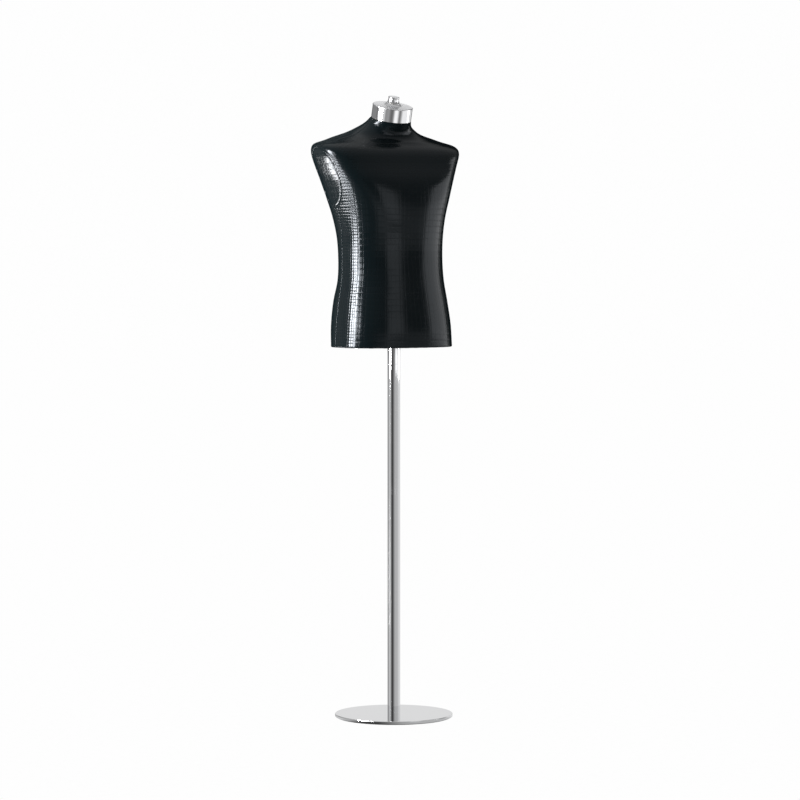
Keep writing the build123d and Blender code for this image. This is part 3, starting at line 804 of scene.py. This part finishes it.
# The studio round the stand as polished metal shows it: azimuth in degrees and brightness, from behind
# the stand by its right side, its front and its left to behind it again. Both lists were typed, with
# some rounding and changes, from what another program printed of the photograph's brightness along the
# pole and the collar. That breaks the rules of the hand-in, as report.md says, and plain cards should
# replace them.
SEEN_IN_POLE = (
    (-180, 0.5),
    (-165, 0.35),
    (-135, 0.4),
    (-118, 0.65),
    (-105, 0.68),
    (-90, 0.5),
    (-78, 0.25),
    (-68, 0.08),
    (-48, 0.06),
    (-38, 0.16),
    (-20, 0.42),
    (-4, 0.54),
    (15, 0.54),
    (47, 0.63),
    (64, 0.8),
    (98, 0.87),
    (130, 0.8),
    (172, 0.8),
)
SEEN_IN_COLLAR = (
    (-180, 0.3),
    (-165, 0.12),
    (-125, 0.12),
    (-105, 0.35),
    (-84, 0.9),
    (-75, 0.8),
    (-68, 0.33),
    (-50, 0.38),
    (-40, 0.22),
    (-31, 0.15),
    (-22, 0.3),
    (-10, 1.2),
    (3, 1.15),
    (14, 0.35),
    (19, 0.2),
    (27, 0.38),
    (40, 1.05),
    (75, 1.05),
    (92, 0.45),
    (112, 0.45),
    (130, 0.7),
)


def floor_sector(name, start, end, near, far, height, brightness, seen=False, ramp=None, top=None):
    """A sheet between two azimuths and two distances, level or rising to top."""
    count = max(2, round((end - start) / SECTOR_STEP))
    turns = [radians(start + (end - start) * step / count) for step in range(count + 1)]
    points = [
        (reach * sin(turn), -reach * cos(turn), level)
        for reach, level in ((near, height), (far, top or height))
        for turn in turns
    ]
    faces = [(step, step + 1, step + count + 2, step + count + 1) for step in range(count)]
    sheet = stage_sheet(name, points, faces, brightness, seen)
    if ramp:
        glow_by_azimuth(sheet.data.materials[0], ramp)


def make_stage():
    """A pale floor and a pale wall for the camera, and for gloss the studio's dark and bright parts: the
    collar sees the nearer floor, and the pole the farther floor and a low skirt round the stand."""
    floor_sector("floor", -180, 180, 0, FLOOR_RADIUS, 0, 1.0, seen=True)
    floor_sector("studio_far", -180, 180, 0, FLOOR_RADIUS, -1 * MM, 1.0, ramp=SEEN_IN_POLE)
    floor_sector("studio_near", -180, 180, 3.1, 7.5, 1 * MM, 1.0, ramp=SEEN_IN_COLLAR)
    floor_sector("studio_skirt", -180, 180, 1.5, 1.5, 0, 1.0, ramp=SEEN_IN_POLE, top=0.5)
    floor_sector("reflector_behind", -153, -120, 3.25, 3.85, 2 * MM, brightness=42)
    floor_sector("reflector_beside", -120, -84, 3.4, 3.9, 2 * MM, brightness=55)
    bpy.ops.mesh.primitive_uv_sphere_add(segments=64, ring_count=32, radius=WALL_RADIUS)
    wall = bpy.context.object
    wall.name = "wall"
    wall.data.materials.append(plain_glow("pale_wall", 1.0))
    wall.visible_glossy = False
    wall.visible_diffuse = False
    wall.visible_shadow = False
    wall.visible_transmission = False


def softbox(name, azimuth, distance, low, high, width, brightness):
    """An upright softbox that faces the torso: azimuth 0 is before the chest and 90 at its left."""
    data = bpy.data.lights.new(name, "AREA")
    data.shape = "RECTANGLE"
    data.size, data.size_y = width, high - low
    data.energy = brightness * pi * width * (high - low)
    light = bpy.data.objects.new(name, data)
    bpy.context.scene.collection.objects.link(light)
    turn = radians(azimuth)
    light.location = (distance * sin(turn), -distance * cos(turn), (low + high) / 2)
    light.rotation_euler = (pi / 2, 0, turn)
    light.visible_camera = False


def make_world():
    """A dim studio, lighter overhead."""
    world = bpy.data.worlds.new("studio")
    world.use_nodes = True
    tree = world.node_tree
    place = tree.nodes.new("ShaderNodeTexCoord")
    split = tree.nodes.new("ShaderNodeSeparateXYZ")
    tree.links.new(place.outputs["Generated"], split.inputs["Vector"])
    level = remap(tree, split.outputs["Z"], low=0.16, high=0.65, start=0.2, end=0.9)
    tree.links.new(level, tree.nodes["Background"].inputs["Color"])
    bpy.context.scene.world = world


def make_lights():
    """Bright narrow softboxes beside the torso's right arm, which give its gloss a long streak, and dim
    wide ones in front, beside and behind: azimuth, distance, lower and upper edge, width, brightness."""
    make_world()
    softbox("strip_left", -98, 3.2, 0.85, 2.35, 1.15, 46)
    softbox("strip_hip", -104, 3.3, 1.48, 2.15, 0.7, 60)
    softbox("strip_waist", -79, 3.3, 1.42, 2.0, 0.75, 15)
    softbox("wide_front", 12, 4.0, 0.8, 2.45, 1.6, 1.2)
    softbox("wide_right", 67, 3.4, 0.8, 2.3, 2.8, 2.0)
    softbox("panel_beside", -152, 5.5, 1.3, 2.6, 5.0, 0.12)
    softbox("panel_behind", 148, 5.5, 0.02, 5.0, 1.8, 0.66)


LEATHER = make_leather()
bpy.context.scene.view_settings.view_transform = "Standard"
make_camera()
make_stage()
make_lights()
paint_frame()
dress_torso()
